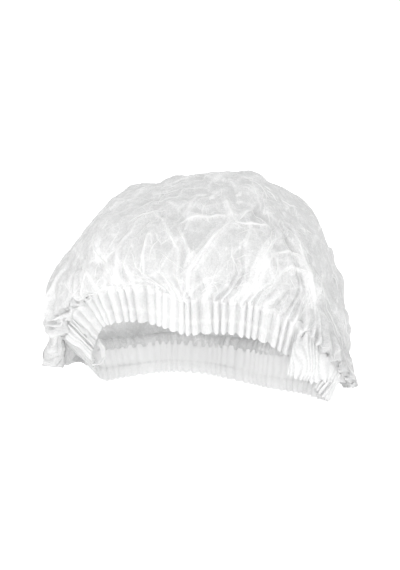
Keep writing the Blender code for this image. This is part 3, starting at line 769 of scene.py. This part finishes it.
def column_at(column, aside):
    """The column this far along the rim from another, in metres, as a number that needn't be whole."""
    return np.interp(share_of[column] + np.asarray(aside) / rim_length, three_turns, unrolled)


rear_first = int(round(float(column_at(0, BUNCH_ROOM))))
rear_last = int(round(float(column_at(left_column, -BUNCH_ROOM))))
front_first = int(round(float(column_at(left_column, BUNCH_ROOM))))
front_last = columns + int(round(float(column_at(0, -BUNCH_ROOM))))
rear_hem = doubled_band("rear_hem_ruffle", rear_first, rear_last + 1)
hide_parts("rear_hem")
front_hem = doubled_band("front_hem_ruffle", front_first, front_last + 1)
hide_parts("front_hem")

# The elastic: a thin flat strip in the fold of each band, which draws the pleats in. It shows
# only as the pinched line along the band.
ELASTIC_WIDTH = 0.0035

white_elastic = nonwoven("white_elastic", (0.84, 0.84, 0.83), (0.92, 0.92, 0.91), 0.05, 0.0)


def elastic_strip(name, first, last):
    """The strip between a band's two layers."""
    levels = PINCH_UP + np.linspace(-0.5, 0.5, 5)[:, None] * ELASTIC_WIDTH
    strip = np.empty((5, last - first, 3))
    middle = cloth[:HEM_ROWS + 1] - facing[:HEM_ROWS + 1] * DOUBLED_GAP * 0.5
    for i in range(first, last):
        for axis in range(3):
            strip[:, i - first, axis] = np.interp(
                levels[:, 0], distances[:HEM_ROWS + 1, i], middle[:, i, axis]
            )
    piece = cloth_piece(name, strip, False, np.full(strip.shape[:2], 0.5))
    piece.data.materials.append(white_elastic)
    return piece


rear_elastic = elastic_strip("rear_elastic_strip", rear_first, rear_last + 1)
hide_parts("rear_elastic")
front_elastic = elastic_strip("front_elastic_strip", front_first, front_last + 1)
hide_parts("front_elastic")

# The ends: where the two bands meet, their last pleats are stacked close and pressed together by
# a weld. Each is a dense upright bunch, pinched at the elastic.
LEFT_HALF_WIDTH, RIGHT_HALF_WIDTH = 0.0125, 0.0120
BUNCH_HALF_DEPTH = 0.0075
BUNCH_PLEATS = 17
BUNCH_FLUTE = 0.42
BUNCH_ROWS = 26
BUNCH_STEPS = 14

# The welded pieces get a darker tone than the bands, as painted shade that holds down the strong fill
# lamp on the fan and bunches
welded_nonwoven = nonwoven("welded_nonwoven", (0.66, 0.665, 0.665), (0.93, 0.93, 0.93), 0.20, 0.2)


def cloth_at(column, level):
    """The smooth band's place and outward direction at a column and a share of its height."""
    low = np.floor(column).astype(int)
    part = (column - low)[..., None]
    at = level * HEM_ROWS
    down = np.floor(at).astype(int)
    rest = (at - down)[..., None]
    values = []
    for grid in (smooth_cloth, facing):
        lower = grid[down, low % columns] * (1 - part) + grid[down, (low + 1) % columns] * part
        upper = grid[down + 1, low % columns] * (1 - part) + grid[down + 1, (low + 1) % columns] * part
        values.append(lower * (1 - rest) + upper * rest)
    return values


def end_bunch(name, column, half_width, seed):
    """A stack of pleats around this column of the band."""
    luck = np.random.default_rng(seed)
    around = BUNCH_PLEATS * BUNCH_STEPS
    turns = np.linspace(0.0, 2.0 * math.pi, around, endpoint=False)
    ups = np.linspace(0.0, 1.0, BUNCH_ROWS + 1)
    turn, up = np.meshgrid(turns, ups)
    jitter = 0.25 * np.sin(turn * 2 + luck.uniform(0, 6)) + 0.18 * np.sin(turn * 5 + 3 * up)
    pleat = BUNCH_PLEATS * turn / (2 * math.pi) + jitter
    flute = 0.5 - 0.5 * np.cos(2 * math.pi * pleat)
    flute = flute**1.4
    slim = 1.0 - 0.22 * np.exp(-((up - 0.42) / 0.16) ** 2) + 0.10 * up
    depth = 0.6 + 0.4 * np.sin(pleat * 1.3 + luck.uniform(0, 6)) ** 2
    reach = slim * (1.0 - BUNCH_FLUTE * depth * flute)
    aside = reach * np.cos(turn) * half_width
    tip = 1.0 + (0.05 * np.sin(pleat * 2.1 + seed) - 0.10 * flute) * up
    place, out = cloth_at(column_at(column, aside), np.clip(up * 1.2 * tip, 0.0, 1.3))
    places = place - out * (reach * np.sin(turn))[..., None] * BUNCH_HALF_DEPTH
    places[..., 2] = np.maximum(places[..., 2], 0.0005)
    ends = []
    for ring in (places[:1], places[-1:]):
        middle = ring.mean(axis=1, keepdims=True)
        ends.append([middle + (ring - middle) * share for share in (0.75, 0.4, 0.05)])
    low_end = np.concatenate(ends[0][::-1])
    high_end = np.concatenate(ends[1])
    high_end[..., 2] -= 0.0015
    low_end[..., 2] += 0.0006
    whole = np.concatenate((low_end, places, high_end))
    # Paler on the pleats' outer folds and darker in the flutes between: partly doubled cloth, partly
    # painted shade in the flutes
    whites = np.concatenate((np.full((3, around), 0.3), 0.9 - 0.5 * flute, np.full((3, around), 0.3)))
    piece = cloth_piece(name, whole, True, whites)
    piece.data.materials.append(welded_nonwoven)
    return piece


left_bunch = end_bunch("left_bunch_pleats", left_column, LEFT_HALF_WIDTH, 3)
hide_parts("left_bunch")
right_bunch = end_bunch("right_bunch_pleats", 0, RIGHT_HALF_WIDTH, 7)
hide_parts("right_bunch")

# The fan: at the right end the front band's last pleats are turned forward and pressed flat over
# the bunch, as one white fan of many layers with a toothed edge. Its places are in millimetres.
FAN_PLEATS = 12
FAN_ROWS, FAN_COLUMNS = 60, 120
FAN_BOW = 0.003
FAN_TEETH_UP, FAN_TEETH_DOWN = 0.0042, 0.0028
FAN = np.array((
    ((63, -78, 33), (73, -79, 29), (86, -74, 26), (98, -66, 23), (110, -54, 20)),
    ((65, -80, 41), (76, -82, 40), (88, -78, 38), (101, -69, 35), (113, -53, 32)),
    ((67, -79, 51), (77, -81, 51), (89, -77, 50), (101, -68, 46), (112, -52, 41)),
    ((70, -75, 62), (78, -77, 64), (88, -73, 65), (99, -65, 60), (109, -52, 53)),
), float) / 1000.0


def spread(table, share):
    """A smooth row this share of the way down a table of rows."""
    spot = share * (len(table) - 1)
    i = min(int(spot), len(table) - 2)
    before = table[i - 1] if i > 0 else 2 * table[0] - table[1]
    after = table[i + 2] if i + 2 < len(table) else 2 * table[-1] - table[-2]
    return eased(before, table[i], table[i + 1], after, spot - i)


fan_rows = [spread(FAN, i / (FAN_ROWS - 1)) for i in range(FAN_ROWS)]
fan = np.array([[spread(r, j / (FAN_COLUMNS - 1)) for j in range(FAN_COLUMNS)] for r in fan_rows])
fan_out = unit(np.cross(np.gradient(fan, axis=1), np.gradient(fan, axis=0)))
fan_up, fan_side = np.meshgrid(
    np.linspace(0, 1, FAN_ROWS), np.linspace(0, 1, FAN_COLUMNS), indexing="ij"
)
fan_pleat = FAN_PLEATS * (fan_side + 0.18 * (fan_up - 0.5) * (1 - fan_side))
fan_pleat = fan_pleat + 0.45 * np.sin(fan_side * 17) + 0.6 * waves(fan, 0.03, 31)
fan_crest = np.abs(np.cos(math.pi * fan_pleat))
fan_deep = 0.0007 + 0.0009 * smooth((fan_up - 0.55) / 0.4) + 0.0006 * smooth((0.2 - fan_up) / 0.2)
fan_bow = FAN_BOW * np.sin(math.pi * fan_up) * np.sin(math.pi * fan_side)
fan = fan + fan_out * (fan_bow + fan_deep * fan_crest + 0.0009 * waves(fan, 0.018, 33))[..., None]
teeth_up = FAN_TEETH_UP * smooth((fan_up - 0.86) / 0.14) * (fan_crest**1.5 - 0.6)
teeth_down = FAN_TEETH_DOWN * smooth((0.12 - fan_up) / 0.12) * (fan_crest - 0.5)
fan[..., 2] += teeth_up - teeth_down
# Whiter on the pleats' crests, partly doubled cloth and partly painted highlight, and along the toothed
# top edge
fan_white = 0.16 + 0.42 * fan_crest + 0.3 * smooth((fan_up - 0.9) / 0.1)
right_fan = cloth_piece("right_end_fan", fan, False, fan_white)
right_fan.data.materials.append(welded_nonwoven)

# The tab: the free end of the weld strip at the left, a narrow strip of the same cloth. It comes
# off the bunch and curls into the mouth like a hook.
TAB_WIDTH, TAB_WALL = 0.0075, 0.0006
TAB_ROWS, TAB_COLUMNS = 41, 13
TAB = np.array((
    (-99, -14, 49), (-93, -18, 49), (-87, -23, 46), (-82, -28, 40), (-81, -31, 33), (-85, -33, 28),
    (-90, -32, 27),
), float) / 1000.0
tab_side = unit(np.array((0.55, -0.75, 0.35)))

tab_rows = []
for i in range(TAB_ROWS):
    share = i / (TAB_ROWS - 1)
    across = np.linspace(-0.5, 0.5, TAB_COLUMNS)
    width = TAB_WIDTH * (1.0 - 0.5 * share**3)
    cup = 0.0008 * np.cos(across * math.pi * 2)[:, None] * np.array((0.7, 0.6, 0.3))
    ridge = 0.0003 * math.sin(share * 40) * np.array((1.0, 0.0, 0.0))
    tab_rows.append(spread(TAB, share) + tab_side * across[:, None] * width + cup + ridge)
tab_places = np.array(tab_rows)
left_tab = cloth_piece("left_tab_curl", tab_places, False, np.full(tab_places.shape[:2], 0.8))
wall = left_tab.modifiers.new("Wall", "SOLIDIFY")
wall.thickness = TAB_WALL
wall.offset = 0.0
left_tab.data.materials.append(welded_nonwoven)
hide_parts("left_tab")
